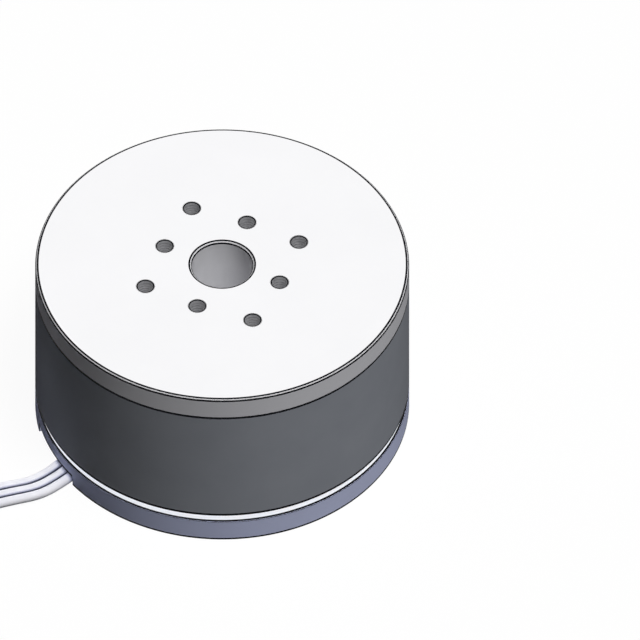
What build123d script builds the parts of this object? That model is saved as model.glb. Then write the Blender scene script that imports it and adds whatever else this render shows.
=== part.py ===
from build123d import *
import math
import os

os.makedirs("parts", exist_ok=True)

# Gimbal motor: a flat outrunner with a hollow shaft, 24 wound teeth and 22 magnets.
# The origin is the centre of the base's underside, +Z runs up the spin axis, and +X
# runs through an outer hole of the rotor's face. All sizes are in millimetres.

# Housing
body_diameter = 46.0
base_height = 3.25
running_gap = 1.0
bell_height = 17.5
bell_wall = 0.9
cap_height = 3.25
cap_chamfer = 0.25
rim_chamfer = 0.12

# Holes of the rotor's face, tapped M2.5
rotor_hole_count = 4
outer_hole_circle = 20.3
inner_hole_circle = 15.4
tapped_hole_diameter = 2.1
hole_chamfer = 0.12

# Hollow shaft and its hub
shaft_bore_diameter = 7.5
bore_chamfer = 0.28
hub_diameter = 12.4
hub_length = 1.55
shaft_end_chamfer = 0.3

# Two deep-groove bearings, 10 x 19 x 5
bearing_bore = 10.0
bearing_outside = 19.0
bearing_width = 5.0
bearing_fit = 0.01
land_diameter = 12.7
shoulder_diameter = 16.3
ball_count = 11
ball_diameter = 2.38
ball_pitch_diameter = 14.5
ball_play = 0.05
cage_gap = 0.4
cage_height = 3.2
cage_play = 0.06
shield_thickness = 0.25
shield_inset = 0.12
shield_gap = 0.25
shield_lip = 0.25
ring_chamfer = 0.2

# Nut and lock ring at the lower end of the shaft
nut_flats = 12.0
nut_height = 5.1
nut_above_underside = 0.9
nut_face_height = 0.3
nut_turn = 15.6
nut_chamfer = 0.1
lock_ring_height = 2.55
lock_ring_proud = 0.3
lock_ring_rounding = 0.4
lock_slot_width = 1.2
lock_slot_depth = 0.6

# Base
tube_diameter = 22.0
bearing_shelf_diameter = 16.5
seat_diameter = 24.8
seat_height = 0.7
winding_groove_depth = 1.0
winding_groove_clearance = 0.4
base_hole_count = 4
base_hole_circle = 24.0
base_hole_depth = 2.6

# Stator core and windings
tooth_count = 24
core_height = 16.5
air_gap = 0.4
core_fit = 0.01
yoke_thickness = 2.5
slot_opening = 1.76
shoe_overhang = 0.95
shoe_thickness = 0.8
coil_spacing = 0.25
coil_end_thickness = 1.35
coil_to_yoke = 0.3
coil_to_shoe = 0.35
coil_insulation = 0.05
winding_pattern = "AabBCcaABbcCAabBCcaABbcC"

# Magnets and the posts of the cap that keep them apart
magnet_count = 22
magnet_width = 3.7
magnet_thickness = 1.5
magnet_height = 16.7
magnet_glue = 0.03
post_width = 2.0
post_length = 4.2
cap_relief_depth = 1.0
cap_relief_clearance = 0.8

# Leads, splices and the passage that they leave by
lead_diameter = 1.2
lead_length = 250.0
lead_start_in_splice = 2.0
splice_diameter = 1.4
splice_length = 4.0
splice_reach = 19.0
passage_height = 1.45
passage_right = 6.05
passage_left = 3.9
tail_diameter = 0.5
tail_bend = 0.5
tail_slot_length = 1.6
tip_diameter = 0.8
tip_length = 4.0

# Coil of the put-away lead length
lead_coil_center = (-41.5, 2.3)
lead_coil_radius = 7.2
lead_coil_pitch = 1.25
tie_thickness = 0.3
tie_width = 1.8
tie_angles = (75.0, 235.0)
tie_clearance = 0.05

# Routes of the three leads over the surface that the motor stands on, by hand
lead_routes = {
    "lead_a": [
        (-19.0, -0.95), (-21.3, -1.75), (-24.0, -3.05), (-26.85, -4.15),
        (-29.7, -3.75), (-32.5, -3.45), (-35.1, -3.6),
    ],
    "lead_b": [
        (-19.0, -2.4), (-21.0, -3.1), (-23.6, -4.25), (-26.7, -5.4),
        (-29.9, -5.0), (-33.1, -4.75), (-36.2, -4.9),
    ],
    "lead_c": [
        (-19.0, -3.85), (-20.7, -4.35), (-23.2, -5.4), (-26.5, -6.65),
        (-30.1, -6.25), (-34.1, -6.0), (-37.9, -6.15),
    ],
}

# Levels, from the underside up
body_radius = body_diameter / 2
bell_bottom = base_height + running_gap
bell_top = bell_bottom + bell_height
cap_top = bell_top + cap_height
upper_bearing_top = bell_top - hub_length
upper_bearing_bottom = upper_bearing_top - bearing_width
nut_bottom = nut_above_underside
lower_bearing_bottom = nut_bottom + nut_height
lower_bearing_top = lower_bearing_bottom + bearing_width
lock_ring_bottom = nut_bottom - lock_ring_proud
shaft_end = lock_ring_bottom + lock_ring_height
core_bottom = base_height + seat_height
core_top = core_bottom + core_height
coil_bottom = core_bottom - coil_end_thickness
coil_top = core_top + coil_end_thickness

# Radii that several pieces share
bell_inner_radius = body_radius - bell_wall
bore_radius = shaft_bore_diameter / 2
shaft_radius = bearing_bore / 2 - bearing_fit
tube_radius = tube_diameter / 2
magnet_back = math.sqrt((bell_inner_radius - magnet_glue) ** 2 - (magnet_width / 2) ** 2)
magnet_front = magnet_back - magnet_thickness
core_radius = magnet_front - air_gap
core_bore_radius = tube_radius + core_fit
yoke_radius = tube_radius + yoke_thickness
coil_inner = yoke_radius + coil_to_yoke
coil_outer = core_radius - shoe_thickness - coil_to_shoe
tooth_pitch = 360 / tooth_count
pole_pitch = 360 / magnet_count
shoe_width = 2 * core_radius * math.sin(math.radians(tooth_pitch / 2)) - slot_opening
tooth_width = shoe_width - 2 * shoe_overhang

# Cap of the rotor, in one piece with the hollow shaft and the magnet posts
with BuildPart() as rotor_cap:
    with BuildSketch(Plane.XY.offset(bell_top)):
        Circle(body_radius)
    extrude(amount=cap_height)
    with BuildSketch(Plane.XY.offset(bell_top)):
        Circle(coil_outer + cap_relief_clearance)
        Circle(coil_inner - cap_relief_clearance, mode=Mode.SUBTRACT)
    extrude(amount=cap_relief_depth, mode=Mode.SUBTRACT)
    with BuildSketch(Plane.XY.offset(bell_top)):
        with PolarLocations(body_radius - bell_wall, magnet_count, start_angle=pole_pitch / 2):
            Rectangle(2 * magnet_thickness, post_width)
        Circle(bell_inner_radius - magnet_glue, mode=Mode.INTERSECT)
        Circle(magnet_front, mode=Mode.SUBTRACT)
    extrude(amount=-post_length)
    with BuildSketch(Plane.XY.offset(upper_bearing_top)):
        Circle(hub_diameter / 2)
    extrude(amount=hub_length)
    with BuildSketch(Plane.XY.offset(shaft_end)):
        Circle(shaft_radius)
    extrude(amount=upper_bearing_top - shaft_end)
    with Locations((0, 0, cap_top)):
        Hole(bore_radius)
    with Locations(Plane.XY.offset(cap_top)):
        with PolarLocations(outer_hole_circle / 2, rotor_hole_count):
            Hole(tapped_hole_diameter / 2, depth=cap_height)
        with PolarLocations(inner_hole_circle / 2, rotor_hole_count, start_angle=45):
            Hole(tapped_hole_diameter / 2, depth=cap_height)
    top_edges = rotor_cap.edges().filter_by(GeomType.CIRCLE).group_by(Axis.Z)[-1].sort_by(SortBy.RADIUS)
    chamfer(top_edges[-1], length=cap_chamfer)
    chamfer(top_edges[-2], length=bore_chamfer)
    chamfer(top_edges[:-2], length=hole_chamfer)
    shaft_rim = rotor_cap.edges().filter_by(GeomType.CIRCLE).group_by(Axis.Z)[0].sort_by(SortBy.RADIUS)[-1]
    chamfer(shaft_rim, length=shaft_end_chamfer)
rotor_cap.part.label = "rotor_cap"
export_step(rotor_cap.part, "parts/rotor_cap.step")

# Steel flux ring that the magnets are glued into
with BuildPart() as bell_ring:
    with BuildSketch(Plane.XY.offset(bell_bottom)):
        Circle(body_radius)
        Circle(bell_inner_radius, mode=Mode.SUBTRACT)
    extrude(amount=bell_height)
    lower_rim = bell_ring.edges().filter_by(GeomType.CIRCLE).group_by(Axis.Z)[0].sort_by(SortBy.RADIUS)[-1]
    chamfer(lower_rim, length=rim_chamfer)
bell_ring.part.label = "bell_ring"
export_step(bell_ring.part, "parts/bell_ring.step")

# Bar magnets, north and south faces inwards by turns, hard up under the cap
for first_pole, pole_name in enumerate(("magnets_north", "magnets_south")):
    with BuildPart() as magnets:
        with BuildSketch(Plane.XY.offset(bell_top - magnet_glue)):
            with PolarLocations(
                magnet_front + magnet_thickness / 2, magnet_count // 2, start_angle=first_pole * pole_pitch
            ):
                Rectangle(magnet_thickness, magnet_width)
        extrude(amount=-magnet_height)
    magnets.part.label = pole_name
    export_step(magnets.part, f"parts/{pole_name}.step")

# Upper and lower bearing: two rings, balls in a cage, and a shield on each side
groove_radius = ball_diameter / 2 + ball_play
ball_pitch_radius = ball_pitch_diameter / 2
shield_seat_radius = shoulder_diameter / 2 + shield_lip
shield_seat_depth = shield_inset + shield_thickness
for place, ring_bottom in (("upper", upper_bearing_bottom), ("lower", lower_bearing_bottom)):
    ring_middle = ring_bottom + bearing_width / 2

    with BuildPart() as inner_ring:
        with BuildSketch(Plane.XZ):
            with Locations(((bearing_bore + land_diameter) / 4, ring_middle)):
                Rectangle((land_diameter - bearing_bore) / 2, bearing_width)
            with Locations((ball_pitch_radius, ring_middle)):
                Circle(groove_radius, mode=Mode.SUBTRACT)
        revolve(axis=Axis.Z)
        levels = inner_ring.edges().filter_by(GeomType.CIRCLE).group_by(Axis.Z)
        for level in (levels[0], levels[-1]):
            chamfer(level.sort_by(SortBy.RADIUS)[0], length=ring_chamfer)
    inner_ring.part.label = f"{place}_bearing_inner_ring"
    export_step(inner_ring.part, f"parts/{place}_bearing_inner_ring.step")

    with BuildPart() as outer_ring:
        with BuildSketch(Plane.XZ):
            with Locations(((shoulder_diameter + bearing_outside) / 4, ring_middle)):
                Rectangle((bearing_outside - shoulder_diameter) / 2, bearing_width)
            with Locations((ball_pitch_radius, ring_middle)):
                Circle(groove_radius, mode=Mode.SUBTRACT)
        revolve(axis=Axis.Z)
        for seat_level in (ring_bottom, ring_bottom + bearing_width - shield_seat_depth):
            with BuildSketch(Plane.XY.offset(seat_level)):
                Circle(shield_seat_radius)
            extrude(amount=shield_seat_depth, mode=Mode.SUBTRACT)
        levels = outer_ring.edges().filter_by(GeomType.CIRCLE).group_by(Axis.Z)
        for level in (levels[0], levels[-1]):
            chamfer(level.sort_by(SortBy.RADIUS)[-1], length=ring_chamfer)
    outer_ring.part.label = f"{place}_bearing_outer_ring"
    export_step(outer_ring.part, f"parts/{place}_bearing_outer_ring.step")

    with BuildPart() as shields:
        for shield_level in (
            ring_bottom + shield_inset,
            ring_bottom + bearing_width - shield_seat_depth,
        ):
            with BuildSketch(Plane.XY.offset(shield_level)):
                Circle(shield_seat_radius - bearing_fit)
                Circle(land_diameter / 2 + shield_gap, mode=Mode.SUBTRACT)
            extrude(amount=shield_thickness)
    shields.part.label = f"{place}_bearing_shields"
    export_step(shields.part, f"parts/{place}_bearing_shields.step")

    with BuildPart(Plane.XY.offset(ring_middle)) as balls:
        with PolarLocations(ball_pitch_radius, ball_count):
            Sphere(ball_diameter / 2)
    balls.part.label = f"{place}_bearing_balls"
    export_step(balls.part, f"parts/{place}_bearing_balls.step")

    with BuildPart(Plane.XY.offset(ring_middle)) as cage:
        Cylinder(shoulder_diameter / 2 - cage_gap, cage_height)
        Cylinder(land_diameter / 2 + cage_gap, cage_height, mode=Mode.SUBTRACT)
        with PolarLocations(ball_pitch_radius, ball_count):
            Cylinder(
                ball_diameter / 2 + cage_play,
                ball_diameter,
                rotation=(0, 90, 0),
                mode=Mode.SUBTRACT,
            )
    cage.part.label = f"{place}_bearing_cage"
    export_step(cage.part, f"parts/{place}_bearing_cage.step")

# Hexagonal nut that draws the shaft down against the lower bearing
nut_face_level = nut_bottom + nut_height - nut_face_height
nut_corner_radius = nut_flats / math.sqrt(3)
nut_corner_rise = (nut_corner_radius - nut_flats / 2 + nut_chamfer) * math.tan(math.radians(30))
with BuildPart() as shaft_nut:
    with BuildSketch(Plane.XY.offset(nut_bottom)):
        RegularPolygon(nut_flats / 2, side_count=6, major_radius=False, rotation=nut_turn)
    extrude(amount=nut_height - nut_face_height)
    with BuildSketch(Plane.XZ):
        with BuildLine():
            Polyline(
                (0, nut_bottom),
                (nut_flats / 2 - nut_chamfer, nut_bottom),
                (nut_corner_radius, nut_bottom + nut_corner_rise),
                (nut_corner_radius, nut_face_level),
                (0, nut_face_level),
                close=True,
            )
        make_face()
    revolve(axis=Axis.Z, mode=Mode.INTERSECT)
    with BuildSketch(Plane.XY.offset(nut_face_level)):
        Circle(hub_diameter / 2)
    extrude(amount=nut_face_height)
    with Locations((0, 0, nut_bottom + nut_height)):
        Hole(shaft_radius + bearing_fit)
shaft_nut.part.label = "shaft_nut"
export_step(shaft_nut.part, "parts/shaft_nut.step")

# Slotted ring screwed into the nut from below until it jams on the shaft's end
with BuildPart() as lock_ring:
    with BuildSketch(Plane.XY.offset(lock_ring_bottom)):
        Circle(shaft_radius)
        Circle(bore_radius, mode=Mode.SUBTRACT)
    extrude(amount=lock_ring_height)
    lower_edge = lock_ring.edges().filter_by(GeomType.CIRCLE).group_by(Axis.Z)[0].sort_by(SortBy.RADIUS)[-1]
    fillet(lower_edge, radius=lock_ring_rounding)
    with BuildSketch(Plane.XY.offset(lock_ring_bottom)):
        Rectangle(bearing_bore, lock_slot_width)
        Rectangle(lock_slot_width, bearing_bore)
    extrude(amount=lock_slot_depth, mode=Mode.SUBTRACT)
lock_ring.part.label = "lock_ring"
export_step(lock_ring.part, "parts/lock_ring.step")

# Base: flange, bearing tube, winding groove, lead passage and mounting holes
passage_inner_end = splice_reach - splice_length - tail_slot_length
passage_center_y = (passage_left - passage_right) / 2
passage_width = passage_left + passage_right
splice_rows = [points[0][1] for points in lead_routes.values()]
with BuildPart() as base:
    with BuildSketch():
        Circle(body_radius)
    extrude(amount=base_height)
    with BuildSketch(Plane.XY.offset(base_height)):
        Circle(coil_outer + winding_groove_clearance)
        Circle(coil_inner - winding_groove_clearance, mode=Mode.SUBTRACT)
    extrude(amount=-winding_groove_depth, mode=Mode.SUBTRACT)
    with BuildSketch(Plane.XY.offset(base_height)):
        Circle(seat_diameter / 2)
    extrude(amount=seat_height)
    with BuildSketch(Plane.XY.offset(core_bottom)):
        Circle(tube_radius)
    extrude(amount=core_height)
    with BuildSketch():
        Circle(bearing_outside / 2 + bearing_fit)
    extrude(amount=lower_bearing_top, mode=Mode.SUBTRACT)
    with BuildSketch(Plane.XY.offset(lower_bearing_top)):
        Circle(bearing_shelf_diameter / 2)
    extrude(amount=upper_bearing_bottom - lower_bearing_top, mode=Mode.SUBTRACT)
    with BuildSketch(Plane.XY.offset(upper_bearing_bottom)):
        Circle(bearing_outside / 2 + bearing_fit)
    extrude(amount=core_top - upper_bearing_bottom, mode=Mode.SUBTRACT)
    with BuildSketch():
        with Locations((-(passage_inner_end + body_radius) / 2 - 1, passage_center_y)):
            Rectangle(body_radius - passage_inner_end + 2, passage_width)
    extrude(amount=passage_height, mode=Mode.SUBTRACT)
    with BuildSketch():
        with Locations((-(passage_inner_end + tail_slot_length / 2), sum(splice_rows) / len(splice_rows))):
            Rectangle(tail_slot_length, max(splice_rows) - min(splice_rows) + 2 * tail_diameter)
    extrude(amount=base_height, mode=Mode.SUBTRACT)
    with Locations(Plane.XY.rotated((180, 0, 0))):
        with PolarLocations(base_hole_circle / 2, base_hole_count, start_angle=45):
            Hole(tapped_hole_diameter / 2, depth=base_hole_depth)
    top_rim = (
        base.edges().filter_by(GeomType.CIRCLE).filter_by_position(Axis.Z, base_height, base_height)
        .sort_by(SortBy.RADIUS)[-1]
    )
    chamfer(top_rim, length=rim_chamfer)
base.part.label = "base"
export_step(base.part, "parts/base.step")

# Stator core: a stack of laminations under one coat of insulating varnish
with BuildPart() as stator_core:
    with BuildSketch(Plane.XY.offset(core_bottom)):
        Circle(yoke_radius)
        with PolarLocations((core_bore_radius + core_radius) / 2, tooth_count):
            Rectangle(core_radius - core_bore_radius, tooth_width)
        with PolarLocations(core_radius - shoe_thickness / 2, tooth_count):
            Rectangle(shoe_thickness, shoe_width)
        Circle(core_radius, mode=Mode.INTERSECT)
        Circle(core_bore_radius, mode=Mode.SUBTRACT)
    extrude(amount=core_height)
stator_core.part.label = "stator_core"
export_step(stator_core.part, "parts/stator_core.step")

# One coil, wound round the tooth on +X and as wide as its slots allow
coil_inner_half = coil_inner * math.sin(math.radians(tooth_pitch / 2)) - coil_spacing / 2
coil_outer_half = coil_outer * math.sin(math.radians(tooth_pitch / 2)) - coil_spacing / 2
tooth_half = tooth_width / 2 + coil_insulation
with BuildPart() as one_coil:
    with BuildSketch(Plane.XY.offset(coil_bottom)):
        with BuildLine():
            Polyline(
                (coil_inner, -coil_inner_half),
                (coil_outer, -coil_outer_half),
                (coil_outer, coil_outer_half),
                (coil_inner, coil_inner_half),
                close=True,
            )
        make_face()
    extrude(amount=coil_top - coil_bottom)
    ends = one_coil.faces().filter_by(Axis.Z).edges().filter_by(Axis.Y, reverse=True)
    fillet(ends, radius=coil_end_thickness / 2)
    with Locations(((coil_inner + coil_outer) / 2, 0, (coil_bottom + coil_top) / 2)):
        Box(
            2 * (coil_outer - coil_inner),
            2 * tooth_half,
            core_height + 2 * coil_insulation,
            mode=Mode.SUBTRACT,
        )

# The 24 coils, as three phases of eight
for phase in "abc":
    teeth = [tooth for tooth, letter in enumerate(winding_pattern) if letter.lower() == phase]
    with BuildPart() as phase_coils:
        with Locations(*[Location((0, 0, 0), (0, 0, tooth * tooth_pitch)) for tooth in teeth]):
            add(one_coil.part)
    phase_coils.part.label = f"coils_phase_{phase}"
    export_step(phase_coils.part, f"parts/coils_phase_{phase}.step")

# Winding tails, from under the coils down through the slot to the splices
splice_inner_end = splice_reach - splice_length
with BuildPart() as winding_tails:
    for row in splice_rows:
        with BuildLine() as tail_line:
            FilletPolyline(
                (-splice_inner_end, row, splice_diameter / 2),
                (-splice_inner_end + 2 * tail_bend, row, splice_diameter / 2),
                (-splice_inner_end + 2 * tail_bend, row, coil_bottom),
                radius=tail_bend,
            )
        tail_path = tail_line.wire()
        with BuildSketch(Plane(origin=tail_path @ 0, z_dir=tail_path % 0)):
            Circle(tail_diameter / 2)
        sweep(path=tail_path)
winding_tails.part.label = "winding_tails"
export_step(winding_tails.part, "parts/winding_tails.step")

# Heat-shrink sleeves over the joints between tails and leads
with BuildPart() as lead_splices:
    with BuildSketch(Plane.YZ.offset(-splice_reach)):
        with Locations(*[(row, splice_diameter / 2) for row in splice_rows]):
            Circle(splice_diameter / 2)
    extrude(amount=splice_length)
lead_splices.part.label = "lead_splices"
export_step(lead_splices.part, "parts/lead_splices.step")


def bend_radii(points):
    """Radius of the arc at each corner, as large as its two runs allow."""
    radii = []
    for before, corner, after in zip(points, points[1:], points[2:]):
        run_in = Vector(*corner) - Vector(*before)
        run_out = Vector(*after) - Vector(*corner)
        half_turn = math.radians(run_in.get_angle(run_out)) / 2
        radii.append(0.45 * min(run_in.length, run_out.length) / math.tan(half_turn))
    return radii


# Leads, from the splices out through the passage to the coil of their spare length
lead_radius = lead_diameter / 2
free_lengths = {}
for lead_name, points in lead_routes.items():
    radii = bend_radii(points)
    with BuildPart() as lead:
        with BuildLine(Plane.XY.offset(lead_radius)) as route:
            FilletPolyline(*points, radius=radii)
        lead_line = route.wire()
        with BuildSketch(Plane(origin=lead_line @ 0, z_dir=lead_line % 0)):
            Circle(lead_radius)
        sweep(path=lead_line)
    free_lengths[lead_name] = lead_line.length
    lead.part.label = lead_name
    export_step(lead.part, f"parts/{lead_name}.step")
    section_volume = math.pi * lead_radius**2 * lead_line.length
    print(lead_name, "radii", [round(radius, 1) for radius in radii])
    print(lead_name, "length", round(lead_line.length, 2), "volume", round(lead.part.volume / section_volume, 4))

# Coil of spare lead: three columns of turns, one for each lead, inside one another
column_radii = {
    "lead_a": lead_coil_radius - lead_coil_pitch,
    "lead_b": lead_coil_radius,
    "lead_c": lead_coil_radius + lead_coil_pitch,
}
column_turns = {}
column_tops = {}
coil_x, coil_y = lead_coil_center
for lead_name, column_radius in column_radii.items():
    way_in = abs(lead_routes[lead_name][-1][0] - coil_x)
    wound = lead_length - lead_start_in_splice - free_lengths[lead_name] - way_in
    column_turns[lead_name] = wound / (2 * math.pi * column_radius)
    last_turn = tie_thickness + lead_radius + column_turns[lead_name] * lead_coil_pitch
    column_tops[lead_name] = last_turn
    print(lead_name, "turns", round(column_turns[lead_name], 3), "last turn at", round(last_turn, 2))
with BuildPart() as lead_coil:
    for lead_name, column_radius in column_radii.items():
        with BuildSketch(Plane.XY.offset(tie_thickness)):
            with Locations(lead_coil_center):
                Circle(column_radius + lead_coil_pitch / 2)
                Circle(column_radius - lead_coil_pitch / 2, mode=Mode.SUBTRACT)
        extrude(amount=column_tops[lead_name] - lead_radius - tie_thickness)
lead_coil.part.label = "lead_coil"
export_step(lead_coil.part, "parts/lead_coil.step")

# Bare tinned ends of the leads, on top of the coil
with BuildPart() as lead_tips:
    for lead_name, column_radius in column_radii.items():
        tip_angle = math.radians(-90 - 360 * column_turns[lead_name])
        outward = Vector(math.cos(tip_angle), math.sin(tip_angle), 0)
        tip_plane = Plane(
            origin=(coil_x, coil_y, column_tops[lead_name] - lead_radius + tip_diameter / 2),
            x_dir=outward,
            z_dir=outward.cross(Vector(0, 0, 1)),
        )
        with BuildSketch(tip_plane):
            with Locations((column_radius, 0)):
                Circle(tip_diameter / 2)
        revolve(
            axis=Axis((coil_x, coil_y, 0), (0, 0, 1)),
            revolution_arc=math.degrees(tip_length / column_radius),
        )
lead_tips.part.label = "lead_tips"
export_step(lead_tips.part, "parts/lead_tips.step")

# Ties round the coil, each a closed band
coil_hollow_radius = column_radii["lead_a"] - lead_coil_pitch / 2
inside_edge = math.sqrt(coil_hollow_radius**2 - (tie_width / 2) ** 2) - tie_clearance
outside_edge = column_radii["lead_c"] + lead_coil_pitch / 2 + tie_clearance
band_inside = [
    (inside_edge, tie_thickness),
    (outside_edge, tie_thickness),
    (outside_edge, column_tops["lead_c"] + lead_radius),
    (inside_edge, column_tops["lead_a"] + lead_radius),
]
with BuildPart() as lead_ties:
    for tie_angle in tie_angles:
        outward = Vector(1, 0, 0).rotate(Axis.Z, tie_angle)
        tie_plane = Plane(origin=(coil_x, coil_y, 0), x_dir=outward, z_dir=outward.cross(Vector(0, 0, 1)))
        with BuildSketch(tie_plane):
            Polygon(*band_inside, align=None)
            offset(amount=tie_thickness, kind=Kind.INTERSECTION)
            Polygon(*band_inside, align=None, mode=Mode.SUBTRACT)
        extrude(amount=tie_width / 2, both=True)
lead_ties.part.label = "lead_ties"
export_step(lead_ties.part, "parts/lead_ties.step")
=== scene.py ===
import bmesh
import bpy
import math
from mathutils import Matrix, Vector


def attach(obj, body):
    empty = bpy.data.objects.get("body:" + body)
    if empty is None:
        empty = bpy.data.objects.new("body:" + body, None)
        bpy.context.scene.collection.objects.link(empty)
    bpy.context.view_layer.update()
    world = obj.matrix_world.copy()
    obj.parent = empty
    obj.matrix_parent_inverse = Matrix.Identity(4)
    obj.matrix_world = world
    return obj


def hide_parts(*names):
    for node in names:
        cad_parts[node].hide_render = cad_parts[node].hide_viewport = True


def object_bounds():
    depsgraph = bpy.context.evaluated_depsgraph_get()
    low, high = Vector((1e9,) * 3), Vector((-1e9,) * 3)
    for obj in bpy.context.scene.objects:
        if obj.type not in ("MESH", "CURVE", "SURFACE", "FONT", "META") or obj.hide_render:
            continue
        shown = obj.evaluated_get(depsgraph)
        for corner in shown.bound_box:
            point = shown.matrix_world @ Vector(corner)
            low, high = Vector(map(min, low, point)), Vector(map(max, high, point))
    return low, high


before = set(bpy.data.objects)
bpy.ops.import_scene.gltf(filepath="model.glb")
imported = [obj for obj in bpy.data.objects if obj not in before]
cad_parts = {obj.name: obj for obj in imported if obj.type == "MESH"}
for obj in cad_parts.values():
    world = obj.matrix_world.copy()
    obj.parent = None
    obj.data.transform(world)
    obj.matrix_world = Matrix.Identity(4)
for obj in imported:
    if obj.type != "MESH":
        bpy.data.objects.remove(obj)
cad_low, cad_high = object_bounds()
mm = 0.001

# The camera looks down on the motor with no perspective, as a drawing of it would, and
# keeps the motor in the left half of a square frame, with its leads leaving at the left.
azimuth = math.radians(-21.6)
elevation = math.radians(46.7)
aim_right, aim_up = 12.03, 10.275
view_width = 78.71
camera_distance = 300
backward = Vector((
    math.sin(azimuth) * math.cos(elevation),
    -math.cos(azimuth) * math.cos(elevation),
    math.sin(elevation),
))
rightward = Vector((math.cos(azimuth), math.sin(azimuth), 0))
upward = backward.cross(rightward)
aim = (rightward * aim_right + upward * aim_up) * mm
camera_data = bpy.data.cameras.new("camera")
camera_data.type = "ORTHO"
camera_data.ortho_scale = view_width * mm
camera_data.clip_start = 0.01
camera_data.clip_end = 5
camera = bpy.data.objects.new("camera", camera_data)
bpy.context.collection.objects.link(camera)
facing = Matrix((rightward, upward, backward)).transposed().to_4x4()
camera.matrix_world = Matrix.Translation(aim + backward * camera_distance * mm) @ facing
bpy.context.scene.camera = camera
bpy.context.scene.view_settings.view_transform = "Standard"

# The floor is a wide plain sheet of white card. It shows white to the camera and in
# reflections, keeps a soft shadow, and throws only a little light back up.
sheet_reach = 3000
sheet_drop = 0.02
floor_mesh = bpy.data.meshes.new("floor")
sheet = bmesh.new()
bmesh.ops.create_grid(sheet, x_segments=1, y_segments=1, size=sheet_reach * mm)
bmesh.ops.translate(sheet, verts=sheet.verts, vec=(0, 0, -sheet_drop * mm))
sheet.to_mesh(floor_mesh)
sheet.free()
floor = bpy.data.objects.new("floor", floor_mesh)
bpy.context.collection.objects.link(floor)


def empty_material(name):
    """A material with only its output node: its nodes, its links and its surface socket."""
    material = bpy.data.materials.new(name)
    material.use_nodes = True
    material.node_tree.nodes.clear()
    output = material.node_tree.nodes.new("ShaderNodeOutputMaterial")
    return material, material.node_tree.nodes, material.node_tree.links, output.inputs["Surface"]


card, nodes, links, surface = empty_material("white_card")
seen_card = nodes.new("ShaderNodeBsdfDiffuse")
seen_card.inputs["Color"].default_value = (0.96, 0.96, 0.96, 1)
unseen_card = nodes.new("ShaderNodeBsdfDiffuse")
unseen_card.inputs["Color"].default_value = (0.048, 0.048, 0.048, 1)
glow = nodes.new("ShaderNodeEmission")
glow.inputs["Strength"].default_value = 1.0
seen = nodes.new("ShaderNodeMixShader")
seen.inputs["Fac"].default_value = 0.8
mirrored = nodes.new("ShaderNodeMixShader")
either = nodes.new("ShaderNodeMath")
either.operation = "MAXIMUM"
whole = nodes.new("ShaderNodeMixShader")
ray = nodes.new("ShaderNodeLightPath")
links.new(seen_card.outputs[0], seen.inputs[1])
links.new(glow.outputs[0], seen.inputs[2])
links.new(ray.outputs["Is Glossy Ray"], either.inputs[0])
links.new(ray.outputs["Is Transmission Ray"], either.inputs[1])
links.new(either.outputs[0], mirrored.inputs["Fac"])
links.new(unseen_card.outputs[0], mirrored.inputs[1])
links.new(glow.outputs[0], mirrored.inputs[2])
links.new(ray.outputs["Is Camera Ray"], whole.inputs["Fac"])
links.new(mirrored.outputs[0], whole.inputs[1])
links.new(seen.outputs[0], whole.inputs[2])
links.new(whole.outputs[0], surface)
floor_mesh.materials.append(card)

# Plain studio light: a large soft lamp high at the front right, a fill from the same side
# and one from behind that throw no shadow, in a pale room that shows white all round.
world = bpy.data.worlds.new("studio")
bpy.context.scene.world = world
world.use_nodes = True
room = world.node_tree
room.nodes.clear()
room_output = room.nodes.new("ShaderNodeOutputWorld")
ambient = room.nodes.new("ShaderNodeBackground")
ambient.inputs["Color"].default_value = (1.0, 0.97, 0.92, 1)
ambient.inputs["Strength"].default_value = 0.031
backdrop = room.nodes.new("ShaderNodeBackground")
backdrop.inputs["Color"].default_value = (1, 1, 1, 1)
backdrop.inputs["Strength"].default_value = 1.0
ray = room.nodes.new("ShaderNodeLightPath")
direct = room.nodes.new("ShaderNodeMath")
direct.operation = "MAXIMUM"
through = room.nodes.new("ShaderNodeMath")
through.operation = "MAXIMUM"
blend = room.nodes.new("ShaderNodeMixShader")
room.links.new(ray.outputs["Is Camera Ray"], direct.inputs[0])
room.links.new(ray.outputs["Is Glossy Ray"], direct.inputs[1])
room.links.new(direct.outputs[0], through.inputs[0])
room.links.new(ray.outputs["Is Transmission Ray"], through.inputs[1])
room.links.new(through.outputs[0], blend.inputs["Fac"])
room.links.new(ambient.outputs[0], blend.inputs[1])
room.links.new(backdrop.outputs[0], blend.inputs[2])
room.links.new(blend.outputs[0], room_output.inputs["Surface"])
for lamp_name, lamp_azimuth, lamp_height, strength, spread, shadow in (
    ("key_lamp", 22, 70, 0.8, 25, True),
    ("fill_lamp", 22, 69.9, 2.19, 8, False),
    ("back_lamp", 158.4, 15, 1.0, 10, False),
):
    lamp_data = bpy.data.lights.new(lamp_name, "SUN")
    lamp_data.energy = strength
    lamp_data.angle = math.radians(spread)
    lamp_data.use_shadow = shadow
    lamp = bpy.data.objects.new(lamp_name, lamp_data)
    bpy.context.collection.objects.link(lamp)
    lamp.rotation_euler = (math.radians(90 - lamp_height), 0, math.radians(lamp_azimuth))

# The base is turned from aluminium: a flange, a groove for the windings, and the tube
# that holds both bearings and the stator. It is milled below for the leads, and anodised.
body_radius = round(cad_high[0] / mm, 3)
base_height, seat_top, tube_top = 3.25, 3.95, 20.45
groove_inner, groove_outer, groove_floor = 13.4, 19.34, 2.25
seat_radius, seat_chamfer = 12.4, 0.08
tube_radius, tube_chamfer = 11.0, 0.15
bearing_seat_radius = 9.51
shelf_radius, shelf_bottom, shelf_top = 8.25, 11.0, 15.2
base_rim_chamfer = 0.13
rim_break = 0.03
chamfer = 0.1

# The painted dark lines on the base, which stand in for shade along its edges: how high they reach at the
# lower rim and over the leads' passage, and where the one at the upper rim starts on the chamfer and ends on
# the flange's face.
lower_line_top = 0.3
mouth_line_top = 1.72
upper_line_bottom = 3.17
face_line_radius = 22.72

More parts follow.
